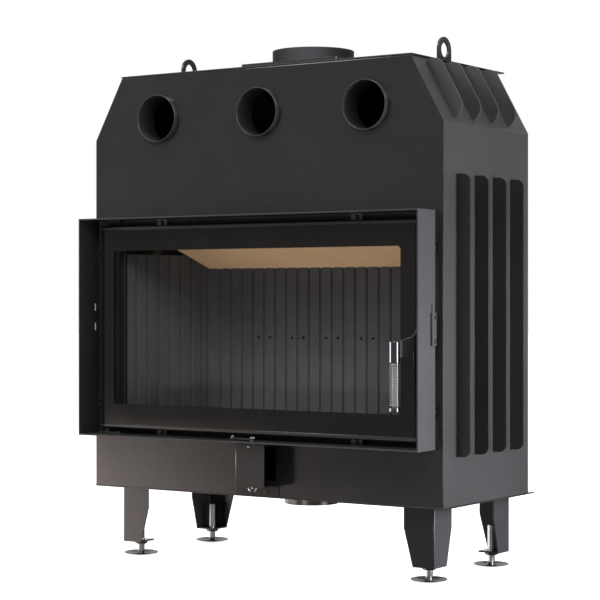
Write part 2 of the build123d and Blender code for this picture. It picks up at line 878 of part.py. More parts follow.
def coil_radius():
    return handle_radius - coil_wire / 2


def coil_span():
    """Lowest and highest centre height of the coil."""
    low = handle_bottom + cap_length + coil_wire / 2 + coil_end_gap
    high = handle_top - ferrule_length - coil_wire / 2 - coil_end_gap
    return low, high


def helix_point(turn):
    low, high = coil_span()
    angle = 2 * pi * turn
    z = low + (high - low) * turn / coil_turns
    return Vector(coil_radius() * cos(angle), coil_radius() * sin(angle), z)


def helix_tangent(turn):
    low, high = coil_span()
    angle = 2 * pi * turn
    rise = (high - low) / (2 * pi * coil_turns)
    return Vector(-coil_radius() * sin(angle), coil_radius() * cos(angle), rise).normalized()


def biarc(start, start_dir, end, end_dir):
    """Two arcs that leave start along start_dir and reach end along end_dir, and the point between them."""
    v = end - start
    t = start_dir + end_dir
    k = 2 * (1 - start_dir.dot(end_dir))
    vt = v.dot(t)
    d = (-vt + sqrt(vt**2 + k * v.dot(v))) / k
    middle = (start + start_dir * d + end - end_dir * d) * 0.5
    first = TangentArc(start, middle, tangent=start_dir)
    return [first, TangentArc(middle, end, tangent=first % 1)]


def coil_end(turn, inwards):
    """Where the wire leaves the coil: the start of its straight end and the run from there to the core."""
    bend = coil_wire * coil_end_bend
    reach = coil_radius() - bend
    length = sqrt(reach**2 - bend**2)
    point = helix_point(turn)
    tangent = helix_tangent(turn)
    radial = Vector(-point.X, -point.Y, 0).normalized()
    flat = Vector(tangent.X, tangent.Y, 0).normalized() * inwards
    swing = bend / reach
    along = radial * sqrt(1 - swing**2) - flat * swing
    rise = inwards * coil_wire * coil_end_rise
    run = length - handle_core_radius - coil_core_gap
    return Vector(0, 0, point.Z + rise) - along * length, along * run


def make_handle_spring():
    """Coil grip round the core: one wire, whose ends turn in and run straight to the core."""
    edges = []
    start, into = coil_end(0, -1)
    edges.append(Line(start + into, start))
    edges += biarc(start, into.normalized() * -1, helix_point(0), helix_tangent(0))
    steps = coil_turns * 2
    for i in range(steps):
        a, b = i / 2, (i + 1) / 2
        edges += biarc(helix_point(a), helix_tangent(a), helix_point(b), helix_tangent(b))
    finish, out = coil_end(coil_turns, 1)
    edges += biarc(helix_point(coil_turns), helix_tangent(coil_turns), finish, out.normalized())
    edges.append(Line(finish, finish + out))
    wire = Wire(edges)
    report_coil(wire)
    section = Plane(origin=wire @ 0, z_dir=wire % 0) * Circle(coil_wire / 2)
    return Pos(handle_x, handle_y, 0) * sweep(section, path=wire)


def report_coil(wire):
    """Print the least gap between turns, measured on points along the wire."""
    count = coil_turns * probes_per_turn
    points = [wire @ (i / count) for i in range(count + 1)]
    near, far = probes_per_turn // 3, probes_per_turn * 2
    pairs = [(i, j) for i in range(count) for j in range(i + near, min(i + far, count + 1))]
    nearest = min((points[i] - points[j]).length for i, j in pairs)
    gap = nearest - coil_wire
    print(f"coil: {coil_turns} turns, wire {coil_wire} mm, least gap to itself {gap:.2f} mm")


def make_handle_core():
    """Core rod of the grip with the ferrule at its top, turned in one piece."""
    ferrule_low = handle_top - ferrule_length
    ferrule = rod_z(handle_radius, handle_x, handle_y, ferrule_low, handle_top)
    ferrule = chamfer(ferrule.edges().filter_by(GeomType.CIRCLE), handle_chamfer)
    return ferrule + rod_z(handle_core_radius, handle_x, handle_y, handle_bottom + cap_length, ferrule_low)


def make_handle_cap():
    cap = rod_z(handle_radius, handle_x, handle_y, handle_bottom, handle_bottom + cap_length)
    return chamfer(cap.edges().filter_by(GeomType.CIRCLE), handle_chamfer)


# ---------------------------------------------------------------- firebox
def plan_half(y, shift=0.0):
    """Half width of the lined firebox at a depth, moved outwards by shift."""
    return liner_front_half - (y - liner_front_y) * splay + shift


def plan_face(y0, y1, shift):
    """Plan of the firebox between two depths, with its sides moved outwards by shift."""
    a, b = plan_half(y0, shift), plan_half(y1, shift)
    return Polygon((-a, y0), (a, y0), (b, y1), (-b, y1), align=None)


def make_firebox_body():
    """Welded steel body: splayed walls standing on the bottom plate, a floor and a roof with the flue hole."""
    outer = plan_face(sheet, liner_back_face + plate, liner_shift + plate_shift)
    inner = plan_face(sheet, liner_back_face, liner_shift)
    roof_low = firebox_roof - plate
    floor_low = hearth_top - hearth_thickness - plate
    body = level_plate(outer - inner, floor_low, roof_low - floor_low)
    body += level_plate(inner, floor_low, plate)
    skirt = outer - inner - rect(-half, half, liner_back_face, casing_depth)
    body += level_plate(skirt, casing_bottom, floor_low - casing_bottom)
    roof = outer + Pos(0, flue_y) * Circle(flue_radius + collar_flange)
    hole = inner & Pos(0, flue_y) * Circle(flue_bore)
    return body + level_plate(roof - hole, roof_low, plate)


def make_hearth_slab():
    """Hearth slab on the floor of the firebox."""
    face = plan_face(sheet + slab_gap, liner_back_face - slab_gap, liner_shift - slab_gap)
    slab = level_plate(face, hearth_top - hearth_thickness, hearth_thickness)
    front = slab.edges().filter_by(Axis.X).group_by(Axis.Y)[0].group_by(Axis.Z)[-1]
    return chamfer(front, slab_chamfer)


def groove_face():
    """Section of one groove, its mouth on the X axis and its floor towards +Y."""
    w, f, d = groove_width / 2, groove_floor / 2, groove_depth
    return Polygon((-w, -1), (w, -1), (w, 0), (f, d), (-f, d), (-w, 0), align=None)


def baffle_wedge(clearance):
    """Space above the baffle's underside, used to cut what lies under it."""
    y0, y1 = 0, liner_back_face + 2 * plate
    z0 = baffle_rear_height + (liner_back_y - y0) * baffle_slope - clearance
    z1 = baffle_rear_height + (liner_back_y - y1) * baffle_slope - clearance
    face = Polygon((y0, z0), (y1, z1), (y1, casing_top), (y0, casing_top), align=None)
    return side_plate(face, -half, casing_width)


def make_liner_back():
    """Fluted back liner with the air holes, its top sloped to seat the baffle."""
    plan = plan_face(liner_back_y, liner_back_face - slab_gap, liner_shift - slab_gap)
    ribs = int((liner_back_half - groove_width) / rib_pitch)
    for i in range(-ribs, ribs):
        plan -= Pos((i + 0.5) * rib_pitch, liner_back_y) * groove_face()
    liner = level_plate(plan, hearth_top, baffle_rear_height - hearth_top) - baffle_wedge(0)
    for rib in air_hole_ribs:
        x = rib * rib_pitch
        liner -= rod_y(air_hole_radius, x, liner_back_y - 1, liner_back_face + 1, air_hole_height)
    return liner


def make_liner_side():
    """Fluted right liner, splayed towards the mouth."""
    y0, y1 = sheet + slab_gap, liner_back_y - slab_gap
    plan = Polygon(
        (plan_half(y0), y0),
        (plan_half(y0, liner_shift - slab_gap), y0),
        (plan_half(y1, liner_shift - slab_gap), y1),
        (plan_half(y1), y1),
        align=None,
    )
    length = hypot(y1 - y0, (y1 - y0) * splay)
    lean = degrees(atan(splay)) - 90
    for i in range(int(length / rib_pitch)):
        along = (i + 0.5) * rib_pitch / length
        y = y1 - (y1 - y0) * along
        plan -= Location((plan_half(y), y, 0), (0, 0, lean)) * groove_face()
    return level_plate(plan, hearth_top, liner_top - hearth_top)


def make_baffle():
    """Sloping baffle between the side liners, resting on the back liner and the brackets."""
    y0, y1 = baffle_front_y, liner_back_face - slab_gap
    plan = level_plate(plan_face(y0, y1, -baffle_side_gap), 0, casing_top)
    z0 = baffle_rear_height + (liner_back_y - y0) * baffle_slope
    z1 = baffle_rear_height + (liner_back_y - y1) * baffle_slope
    lift = baffle_thickness * sqrt(1 + baffle_slope**2)
    side = Polygon((y0, z0), (y1, z1), (y1, z1 + lift), (y0, z0 + lift), align=None)
    return side_plate(side, -half, casing_width) & plan


def make_baffle_bracket():
    """Right baffle bracket: a shelf on the side liner, a hook over its face and a wing up to the baffle."""
    y0, y1 = bracket_y - bracket_width / 2, bracket_y + bracket_width / 2
    inner = plan_half(y1) - bracket_sheet
    shelf = block(inner, inner + bracket_shelf, y0, y1, liner_top, liner_top + bracket_sheet)
    top = baffle_rear_height + (liner_back_y - y0) * baffle_slope
    wing = block(inner, inner + bracket_sheet, y0, y1, liner_top, top)
    bracket = shelf + wing - baffle_wedge(0)
    return bracket


# ---------------------------------------------------------------- air box and damper
def make_air_box():
    """Folded air box under the portal, open on its right, with its fixing strip down the panel."""
    s = air_box_sheet
    outer = rect(air_box_left, air_box_right, air_box_front, 0)
    bend = outer.vertices().sort_by(Axis.X)[:2].sort_by(Axis.Y)[0]
    outer = fillet(bend, air_box_bend)
    inner = rect(air_box_left + s, air_box_right + s, air_box_front + s, s)
    corner = inner.vertices().sort_by(Axis.X)[:2].sort_by(Axis.Y)[0]
    inner = fillet(corner, air_box_bend - s)
    box = level_plate(outer - inner, air_box_bottom, air_box_top - air_box_bottom)
    box += level_plate(outer, air_box_bottom, s)
    box += level_plate(outer, air_box_top - s, s)
    box += block(air_box_flange_left, air_box_right, -s, 0, casing_bottom, air_box_bottom + s)
    box += block(air_box_flange_left, air_box_left + s, -s, 0, air_box_bottom, air_box_top)
    bore = damper_shaft_radius + damper_shaft_clearance
    return box - rod_z(bore, damper_x, damper_y, casing_bottom, air_box_top + 1)


def damper_shaft_top():
    return lever_bottom + lever_thickness + damper_nut_height


def make_damper_shaft():
    """Upright shaft of the damper with the nut above the box and the nut on the lever."""
    low = air_box_bottom - wing_nut_height - rest_gap - shaft_end
    shaft = rod_z(damper_shaft_radius, damper_x, damper_y, low, damper_shaft_top())
    seat = air_box_top + rest_gap
    shaft += hex_nut(damper_nut_flats, damper_nut_height, damper_shaft_radius, damper_x, damper_y, seat)
    top = lever_bottom + lever_thickness
    shaft += hex_nut(damper_nut_flats, damper_nut_height, damper_shaft_radius, damper_x, damper_y, top)
    nut_top = seat + damper_nut_height
    spacer = rod_z(damper_shaft_radius + spacer_wall, damper_x, damper_y, nut_top, lever_bottom)
    return shaft + spacer


def make_damper_flap():
    """Flap welded along the shaft inside the air box."""
    z0 = air_box_bottom + air_box_sheet + flap_end_gap
    z1 = air_box_top - air_box_sheet - flap_end_gap
    t = flap_thickness / 2
    flap = block(damper_x - t, damper_x + t, damper_y, damper_y + flap_length, z0, z1)
    flap += rod_z(damper_shaft_radius + flap_thickness, damper_x, damper_y, z0, z1)
    return flap - rod_z(damper_shaft_radius, damper_x, damper_y, z0 - 1, z1 + 1)


def make_air_lever():
    """Flat lever on top of the damper shaft, with a small knob riveted on its end."""
    far = damper_x - lever_length + lever_width / 2
    face = rect(far, damper_x, damper_y - lever_width / 2, damper_y + lever_width / 2)
    face += Pos(far, damper_y) * Circle(lever_width / 2) + Pos(damper_x, damper_y) * Circle(lever_width / 2)
    face -= Pos(damper_x, damper_y) * Circle(damper_shaft_radius)
    return level_plate(face, lever_bottom, lever_thickness) + make_lever_knob()


def make_lever_knob():
    """Small knob on the end of the lever."""
    x = damper_x - lever_length + lever_width / 2
    z = lever_bottom + lever_thickness
    knob = rod_z(knob_radius, x, damper_y, z, z + knob_height)
    return fillet(knob.edges().filter_by(GeomType.CIRCLE).group_by(Axis.Z)[-1], knob_round)


def make_wing_nut():
    """Wing nut under the air box that clamps the shaft."""
    top = air_box_bottom - rest_gap
    low = top - wing_nut_height
    inner_tip = wing_span - wing_tip_width
    hub = Cone(wing_nut_radius, wing_nut_radius * wing_nut_taper, wing_nut_height)
    body = Pos(damper_x, damper_y, (low + top) / 2) * hub
    wings = Pos(damper_x, 0) * Polygon(
        (-wing_root, top - wing_root_drop),
        (wing_root, top - wing_root_drop),
        (wing_span, top - wing_height),
        (inner_tip, top - wing_height - wing_tip_drop),
        (0, low + wing_foot),
        (-inner_tip, top - wing_height - wing_tip_drop),
        (-wing_span, top - wing_height),
        align=None,
    )
    nut = body + front_plate(wings, damper_y - wing_thickness / 2, wing_thickness)
    return nut - rod_z(damper_shaft_radius, damper_x, damper_y, low - wing_height, top + 1)


# ---------------------------------------------------------------- all parts
def group(solids):
    """Separate solids that share one node."""
    return Compound(children=list(solids))


def save_all():
    save(make_front_panel(), "front_panel")
    right_side = make_side_panel()
    save(right_side, "side_panel_right")
    save(mirrored(right_side), "side_panel_left")
    save(make_back_panel(), "back_panel")
    save(make_top_plate(), "top_plate")
    save(make_bottom_plate(), "bottom_plate")
    for name, fins in (("side_fins", make_side_fins()), ("shoulder_fins", make_shoulder_fins())):
        save(group(fins), f"{name}_right")
        save(group([mirrored(fin) for fin in fins]), f"{name}_left")
    for name, x in zip(("left", "centre", "right"), outlet_xs()):
        save(make_outlet(x), f"hot_air_collar_{name}")
    save(make_flue_base(), "flue_base")
    save(make_flue_collar(), "flue_collar")
    save(make_air_inlet(), "air_inlet_collar")
    save(group([make_eye(-eye_x), make_eye(eye_x)]), "lifting_eyes")
    corners = [(side, rear) for rear in (False, True) for side in (-1, 1)]
    for side, rear in corners:
        place = ("rear_" if rear else "front_") + ("left" if side < 0 else "right")
        save(make_leg(side, rear), f"leg_{place}")
        save(make_foot_rod(side, rear), f"foot_rod_{place}")
        save(make_foot_pad(side, rear), f"foot_pad_{place}")
    save(group([make_lock_nut(*corner) for corner in corners]), "lock_nuts")
    save(make_portal_frame(), "portal_frame")
    save(group(make_portal_spacers()), "portal_spacers")
    save(group(make_portal_screws() + make_small_screws()), "screws")
    save(make_latch_keeper(), "latch_keeper")
    save(make_throat_frame(), "throat_frame")
    save(make_hinge_bracket(True), "hinge_bracket_top")
    save(make_hinge_bracket(False), "hinge_bracket_bottom")
    save(make_firebox_body(), "firebox_body")
    save(make_hearth_slab(), "hearth_slab")
    save(make_liner_back(), "liner_back")
    right_liner = make_liner_side()
    save(right_liner, "liner_right")
    save(mirrored(right_liner), "liner_left")
    save(make_baffle(), "baffle")
    bracket = make_baffle_bracket()
    save(group([bracket, mirrored(bracket)]), "baffle_brackets")
    save(make_air_box(), "air_box")
    save(make_door_frame(), "door_frame")
    save(make_door_glass(), "door_glass")
    save(make_glass_seal(), "glass_seal")
    save(make_door_gasket(), "door_gasket")
    save(make_handle_shaft(), "handle_shaft")
    save(make_handle_arm(), "handle_arm")
    save(make_latch_cam(), "latch_cam")
    save(make_handle_core(), "handle_core")
    save(make_handle_spring(), "handle_spring")
    save(make_handle_cap(), "handle_cap")
    save(make_damper_shaft(), "damper_shaft")
    save(make_damper_flap(), "damper_flap")
    save(make_air_lever(), "air_lever")
    save(make_wing_nut(), "wing_nut")


save_all()
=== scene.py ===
import math

import bmesh
import bpy
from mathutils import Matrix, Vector


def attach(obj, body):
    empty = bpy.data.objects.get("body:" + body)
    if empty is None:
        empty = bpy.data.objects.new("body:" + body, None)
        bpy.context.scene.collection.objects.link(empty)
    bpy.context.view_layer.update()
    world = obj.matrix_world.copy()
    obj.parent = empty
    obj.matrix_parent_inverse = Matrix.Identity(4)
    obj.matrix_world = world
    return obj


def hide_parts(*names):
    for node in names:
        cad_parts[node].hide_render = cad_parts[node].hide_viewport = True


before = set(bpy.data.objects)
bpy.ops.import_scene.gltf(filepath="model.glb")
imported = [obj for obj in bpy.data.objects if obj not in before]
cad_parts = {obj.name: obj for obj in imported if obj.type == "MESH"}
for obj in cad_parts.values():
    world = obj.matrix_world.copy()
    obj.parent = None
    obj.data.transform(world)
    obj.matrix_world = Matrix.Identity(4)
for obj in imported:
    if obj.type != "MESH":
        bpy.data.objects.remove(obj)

bpy.ops.object.select_all(action="DESELECT")
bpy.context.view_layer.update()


# ---------------------------------------------------------------- shader sockets as Python values
class Value:
    """An output socket of a node tree. Arithmetic on it adds Math nodes."""

    def __init__(self, tree, socket):
        self.tree = tree
        self.socket = socket

    def maths(self, operation, *others):
        node = self.tree.nodes.new("ShaderNodeMath")
        node.operation = operation
        for slot, item in zip(node.inputs, others):
            plug(self.tree, slot, item)
        return Value(self.tree, node.outputs[0])

    def __add__(self, other):
        return self.maths("ADD", self, other)

    def __sub__(self, other):
        return self.maths("SUBTRACT", self, other)

    def __rsub__(self, other):
        return self.maths("SUBTRACT", other, self)

    def __mul__(self, other):
        return self.maths("MULTIPLY", self, other)

    def least(self, other):
        return self.maths("MINIMUM", self, other)

    def most(self, other):
        return self.maths("MAXIMUM", self, other)

    def size(self):
        return self.maths("ABSOLUTE", self)

    def root(self):
        return self.maths("SQRT", self)

    def step(self, start, end):
        """0 below start and 1 above end, in a straight ramp between."""
        ramp = (self - start) * (1.0 / (end - start))
        return ramp.least(1.0).most(0.0)


def plug(tree, slot, item):
    """Set a socket to a number or colour, or link a Value to it."""
    if isinstance(item, Value):
        tree.links.new(item.socket, slot)
    else:
        slot.default_value = item


class Finish:
    """A material made of nodes, with the object's own coordinates to hand. It can also be the world."""

    def __init__(self, name, world=None):
        self.material = world or bpy.data.materials.new(name)
        self.material.use_nodes = True
        self.tree = self.material.node_tree
        self.tree.nodes.clear()
        self.output = self.tree.nodes.new("ShaderNodeOutputWorld" if world else "ShaderNodeOutputMaterial")
        self.place = self.node("ShaderNodeTexCoord", out="Object")
        parts = self.node("ShaderNodeSeparateXYZ", out=None, Vector=self.place)
        self.x, self.y, self.z = (Value(self.tree, parts.outputs[i]) for i in range(3))

    def node(self, kind, settings=None, out=0, **inputs):
        """Add a node: its settings first, then its sockets by name, underscores standing for spaces."""
        node = self.tree.nodes.new(kind)
        for key, item in (settings or {}).items():
            setattr(node, key, item)
        for key, item in inputs.items():
            plug(self.tree, node.inputs[key.replace("_", " ")], item)
        return node if out is None else Value(self.tree, node.outputs[out])

    def noise(self, scale, detail=3.0, rough=0.5, stretch=None):
        """Noise over the object, stretched by three factors where given."""
        where = self.place
        if stretch:
            where = self.node("ShaderNodeMapping", Vector=self.place, Scale=stretch)
        return self.node("ShaderNodeTexNoise", Vector=where, Scale=scale, Detail=detail, Roughness=rough)

    def blend(self, factor, first, second):
        """Colour between two colours."""
        node = self.node("ShaderNodeMix", {"data_type": "RGBA"}, out=None)
        plug(self.tree, node.inputs[0], factor)
        plug(self.tree, node.inputs[6], first)
        plug(self.tree, node.inputs[7], second)
        return Value(self.tree, node.outputs[2])

    def bump(self, height, strength, distance):
        return self.node("ShaderNodeBump", Height=height, Strength=strength, Distance=distance)

    def surface(self, **inputs):
        return self.node("ShaderNodeBsdfPrincipled", **inputs)

    def done(self, shader):
        plug(self.tree, self.output.inputs["Surface"], shader)
        return self.material


def colour(hex_code):
    """Linear colour from a hex code."""
    parts = [int(hex_code[i:i + 2], 16) / 255 for i in (0, 2, 4)]
    linear = [p / 12.92 if p <= 0.04045 else ((p + 0.055) / 1.055) ** 2.4 for p in parts]
    return (*linear, 1.0)


# ---------------------------------------------------------------- finishes
# Scale, detail and roughness of the three noises of sprayed paint.
CLOUDS = (4.0, 4.0, 0.6)
FINE_GRAIN = (900.0, 2.0, 0.6)
ORANGE_PEEL = (160.0, 2.0, 0.5)
# How deep the paint's bump goes, in metres.
FINE_DEPTH, PEEL_DEPTH = 0.0003, 0.0004
# Left, right, low and high limits in the front view, in metres, of the faces that get painted shade.
SHADE_BEHIND_PORTAL = (-0.439, 0.429, 0.278, 0.748)
SHADE_IN_WINDOW_OPENING = (-0.3645, 0.3645, 0.3395, 0.6845)


def cloudy(f, clouds, dark, light):
    """Tone between two hex codes that follows the clouds."""
    return f.blend(clouds.step(0.3, 0.7), colour(dark), colour(light))


def uneven(clouds, fine, rough):
    """Roughness about a middle value, a number or a Value, varied by the clouds and the fine grain."""
    return clouds * 0.08 + fine * 0.06 + (rough - 0.07)


def stove_paint(name, dark, light, rough, grain=0.15, shine=0.5):
    """Sprayed heat-proof paint: cloudy tone, fine grain in the bump and uneven gloss."""
    f = Finish(name)
    clouds, fine, peel = (f.noise(*noise) for noise in (CLOUDS, FINE_GRAIN, ORANGE_PEEL))
    relief = f.bump(fine * 0.4 + peel * 0.6, grain, PEEL_DEPTH)
    return f.done(f.surface(Base_Color=cloudy(f, clouds, dark, light), Normal=relief,
                            Roughness=uneven(clouds, fine, rough), Specular_IOR_Level=shine))


def facing_x(f):
    """How far the surface faces the insert's right side: 1 right, -1 left."""
    normal = f.node("ShaderNodeNewGeometry", out=1)
    return Value(f.tree, f.node("ShaderNodeSeparateXYZ", out=None, Vector=normal).outputs[0])


def sprayed(f, first, second, share, rough, grain=0.06):
    """Cloudy sprayed paint in two tones, each a pair of hex codes, mixed by a share."""
    clouds, fine = f.noise(*CLOUDS), f.noise(*FINE_GRAIN)
    tones = [cloudy(f, clouds, *pair) for pair in (first, second)]
    return f.done(f.surface(Base_Color=f.blend(share, *tones), Roughness=uneven(clouds, fine, rough),
                            Normal=f.bump(fine, grain, FINE_DEPTH)))


def leg_coat(name):
    """Dark glossy fronts; painted light gives the faces that look sideways the side panels' lighter, duller
    coat.
    """
    f = Finish(name)
    # painted light: the faces that look sideways get the lighter tone
    flange = facing_x(f).size().step(0.6, 0.8)
    return sprayed(f, ("131312", "181716"), ("323233", "39393c"), flange, flange * 0.24 + 0.16)


def portal_coat(name):
    """Satin grey sides; painted shade: a darker coat on the edges and on the left flange."""
    f = Finish(name)
    left_flange_shade = 1.0 - f.x.step(-0.412, -0.406)
    # painted shade on the faces that don't look sideways
    edges = 1.0 - facing_x(f).size().step(0.5, 0.8)
    return sprayed(f, ("3a393b", "424143"), ("242425", "2b2b2c"), left_flange_shade.most(edges), 0.38, 0.1)


def within(f, left, right, low, high):
    """1 inside an upright rectangle of the front view, and 0 outside it."""
    edge = 0.0005
    sides = f.x.step(left - edge, left + edge) * (1.0 - f.x.step(right - edge, right + edge))
    return sides * f.z.step(low - edge, low + edge) * (1.0 - f.z.step(high - edge, high + edge))


def panel_coat(name):
    """Front panel: gloss outside the portal, and painted shade: a dull dark coat on the face behind the door.
    """
    f = Finish(name)
    clouds, fine = f.noise(*CLOUDS), f.noise(*FINE_GRAIN)
    gloss = f.surface(Base_Color=cloudy(f, clouds, "201f1f", "262424"),
                      Roughness=uneven(clouds, fine, 0.15), Normal=f.bump(fine, 0.05, FINE_DEPTH))
    # painted shade on the face behind the portal
    dull = f.surface(Base_Color=f.blend(clouds, colour("0e0e0e"), colour("141414")),
                     Roughness=fine * 0.1 + 0.6, Specular_IOR_Level=0.05)
    return f.done(mixed(f, within(f, *SHADE_BEHIND_PORTAL), gloss, dull))


def door_coat(name):
    """Door frame: satin rails, and painted shade: dull dark faces inside the window's opening."""
    f = Finish(name)
    # painted shade on the frame's faces inside the window's opening
    inside = within(f, *SHADE_IN_WINDOW_OPENING)
    return sprayed(f, ("181715", "1e1d1b"), ("080808", "0c0c0c"), inside, inside * 0.4 + 0.24, 0.08)


def flue_coat(name):
    """Satin grey with little shine; painted shade darkens the sides, most of all the left one."""
    f = Finish(name)
    across = facing_x(f)
    # painted shade on the sides, strongest on the left one
    sides = (across * -1.0).step(-0.3, 0.5).most(across.step(0.75, 1.0) * 0.6)
    clouds, fine = f.noise(*CLOUDS), f.noise(*FINE_GRAIN)
    tone = f.blend(sides, cloudy(f, clouds, "424144", "4a494c"), colour("0b0b0c"))
    return f.done(f.surface(Base_Color=tone, Roughness=fine * 0.06 + sides * 0.3 + 0.42,
                            Normal=f.bump(fine, 0.1, PEEL_DEPTH), Specular_IOR_Level=0.1))


def mouth_coat(name):
    """Outlet collar: satin at its mouth; painted shade makes it dark and dull further in."""
    f = Finish(name)
    # painted shade deeper inside the collar
    deep = f.y.step(-0.160, -0.118)
    return sprayed(f, ("3c3c3d", "434344"), ("0f0f0f", "131313"), deep, deep * 0.4 + 0.26)


def plated(name, tone, rough, streak=(1.0, 1.0, 40.0)):
    """Bright metal with fine streaks in its gloss."""
    f = Finish(name)
    lines = f.noise(120.0, 3.0, 0.6, stretch=streak)
    stain = f.noise(30.0, 3.0, 0.6)
    base = f.blend(stain.step(0.35, 0.75), colour(tone), (*(c * 0.8 for c in colour(tone)[:3]), 1.0))
    return f.done(f.surface(Base_Color=base, Metallic=1.0, Roughness=lines * 0.12 + (rough - 0.06),
                            Normal=f.bump(lines, 0.05, 0.0002)))


def fired_board(name, dark, light):
    """Pressed fireproof board or fireclay: speckled and a little pitted."""
    f = Finish(name)
    speckle = f.noise(320.0, 4.0, 0.7)
    cloud = f.noise(9.0, 4.0, 0.6)
    tone = f.blend((speckle * 0.5 + cloud * 0.5).step(0.35, 0.65), colour(dark), colour(light))
    return f.done(f.surface(Base_Color=tone, Roughness=speckle * 0.1 + 0.8,
                            Normal=f.bump(speckle, 0.5, 0.0006)))


def glass_fibre(name, dark, light, weave_scale):
    """Spun or woven glass fibre: fine yarns across each other and a dusty tone."""
    f = Finish(name)
    yarns = [f.node("ShaderNodeTexWave", {"wave_type": "BANDS", "bands_direction": way}, Vector=f.place,
                    Scale=weave_scale, Distortion=1.2, Detail=2.0) for way in ("X", "Z")]
    weave = yarns[0] * 0.5 + yarns[1] * 0.5
    fluff = f.noise(1500.0, 3.0, 0.7)
    soot = f.noise(22.0, 4.0, 0.6)
    tone = f.blend((weave * 0.5 + fluff * 0.5).step(0.25, 0.75), colour(dark), colour(light))
    tone = f.blend(soot.step(0.35, 0.75) * 0.5, tone, colour("1d1b19"))
    return f.done(f.surface(Base_Color=tone, Roughness=fluff * 0.1 + 0.85,
                            Normal=f.bump(weave * 0.6 + fluff * 0.4, 0.5, 0.0004)))


def knobbed_lever(name):
    """Dark painted lever with a plated knob above its flat."""
    f = Finish(name)
    knob = f.z.step(0.2840, 0.2844)
    grain = f.noise(700.0, 2.0, 0.6)
    tone = f.blend(knob, colour("191817"), colour("737476"))
    return f.done(f.surface(Base_Color=tone, Metallic=knob, Roughness=0.42 - knob * 0.2 + grain * 0.06,
                            Normal=f.bump(grain, 0.12, 0.0003)))


def window_glass(name):
    """Ceramic glass: a black printed border round a clear window with rounded corners."""
    f = Finish(name)
    half_width, low, high, corner = 0.3665, 0.3439, 0.6806, 0.008
    middle, half_height = (low + high) / 2, (high - low) / 2
    dx = (f.x.size() - (half_width - corner)).most(0.0)
    dz = ((f.z - middle).size() - (half_height - corner)).most(0.0)
    far = (dx * dx + dz * dz).root()
    border = far.step(corner - 0.0004, corner + 0.0004)
    smear = f.noise(14.0, 4.0, 0.6)
    black = f.surface(Base_Color=f.blend(smear, colour("0d0c0b"), colour("151312")),
                      Roughness=smear * 0.04 + 0.03, Specular_IOR_Level=0.4)
    clear = f.surface(Base_Color=(0.012, 0.011, 0.010, 1.0), Roughness=0.03, Alpha=smear * 0.02 + 0.015)
    return f.done(mixed(f, border, clear, black))


def mixed(f, factor, first, second):
    """Mix of two shaders."""
    node = f.node("ShaderNodeMixShader", out=None)
    for slot, item in zip(node.inputs, (factor, first, second)):
        plug(f.tree, slot, item)
    return Value(f.tree, node.outputs[0])


casing_paint = stove_paint("casing_paint", "201f1f", "262424", 0.15, 0.05)
side_paint = stove_paint("side_paint", "303030", "363637", 0.42)
# painted shade: the side fins and the top plate get a darker copy of the side paint
fin_paint = stove_paint("fin_paint", "0f0f0f", "141414", 0.5)
box_paint = stove_paint("box_paint", "1f1e1e", "252323", 0.24, 0.05, 0.3)
leg_paint = leg_coat("leg_paint")
portal_paint = portal_coat("portal_paint")
mouth_paint = mouth_coat("mouth_paint")
door_paint = stove_paint("door_paint", "232220", "2b2a28", 0.34)
panel_paint = panel_coat("panel_paint")
frame_paint = door_coat("frame_paint")
flue_paint = flue_coat("flue_paint")
collar_paint = stove_paint("collar_paint", "242323", "2b2a2a", 0.26, 0.08)
inner_paint = stove_paint("inner_paint", "161616", "1c1c1c", 0.6)
zinc = plated("zinc", "8f9092", 0.24)
bright_zinc = plated("bright_zinc", "d8d9db", 0.13)
pad_steel = plated("pad_steel", "2a2a2b", 0.36)
inlet_steel = plated("inlet_steel", "5a5755", 0.3, (1.0, 1.0, 30.0))
chrome = plated("chrome", "66676a", 0.07, (1.0, 1.0, 1.0))
spring_steel = plated("spring_steel", "9c9d9f", 0.12, (1.0, 1.0, 1.0))
fireclay = fired_board("fireclay", "434344", "545456")
tan_board = fired_board("tan_board", "edc08e", "fad4a6")
rope_fibre = glass_fibre("rope_fibre", "4a4743", "8d8880", 420.0)
tape_fibre = glass_fibre("tape_fibre", "4c4a47", "7d7a75", 700.0)
dark_steel = stove_paint("dark_steel", "141414", "1c1c1c", 0.3)
lever_finish = knobbed_lever("lever_finish")
glass = window_glass("glass")

node_finish = {
    "front_panel": panel_paint,
    "portal_frame": portal_paint,
    "air_box": box_paint,
    "damper_flap": inner_paint,
    "door_frame": frame_paint,
    "handle_arm": door_paint,
    "door_glass": glass,
    "glass_seal": tape_fibre,
    "door_gasket": rope_fibre,
    "firebox_body": inner_paint,
    "air_lever": lever_finish,
    "latch_keeper": portal_paint,
    "air_inlet_collar": inlet_steel,
    "baffle": tan_board,
}
finish_by_part = (
    (casing_paint, ("bottom_plate",)),
    (side_paint, ("side_panel", "back_panel", "shoulder_fins")),
    (leg_paint, ("leg_",)),
    (fin_paint, ("side_fins", "top_plate")),
    (flue_paint, ("flue_collar",)),
    (mouth_paint, ("hot_air",)),
    (collar_paint, ("flue_base", "lifting")),
    (inner_paint, ("throat", "baffle_", "hinge_", "latch_", "portal_spacers", "handle_shaft", "screws")),
    (zinc, ("foot_", "lock_nuts", "damper_shaft", "wing_nut")),
    (chrome, ("handle_core", "handle_cap")),
    (spring_steel, ("handle_spring",)),
    (fireclay, ("hearth_slab", "liner_")),
)


def finish_of(name):
    if name in node_finish:
        return node_finish[name]
    return next(finish for finish, starts in finish_by_part if name.startswith(starts))


def paint(piece, finish):
    piece.data.materials.clear()
    piece.data.materials.append(finish)


for node_name, node_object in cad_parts.items():
    paint(node_object, finish_of(node_name))


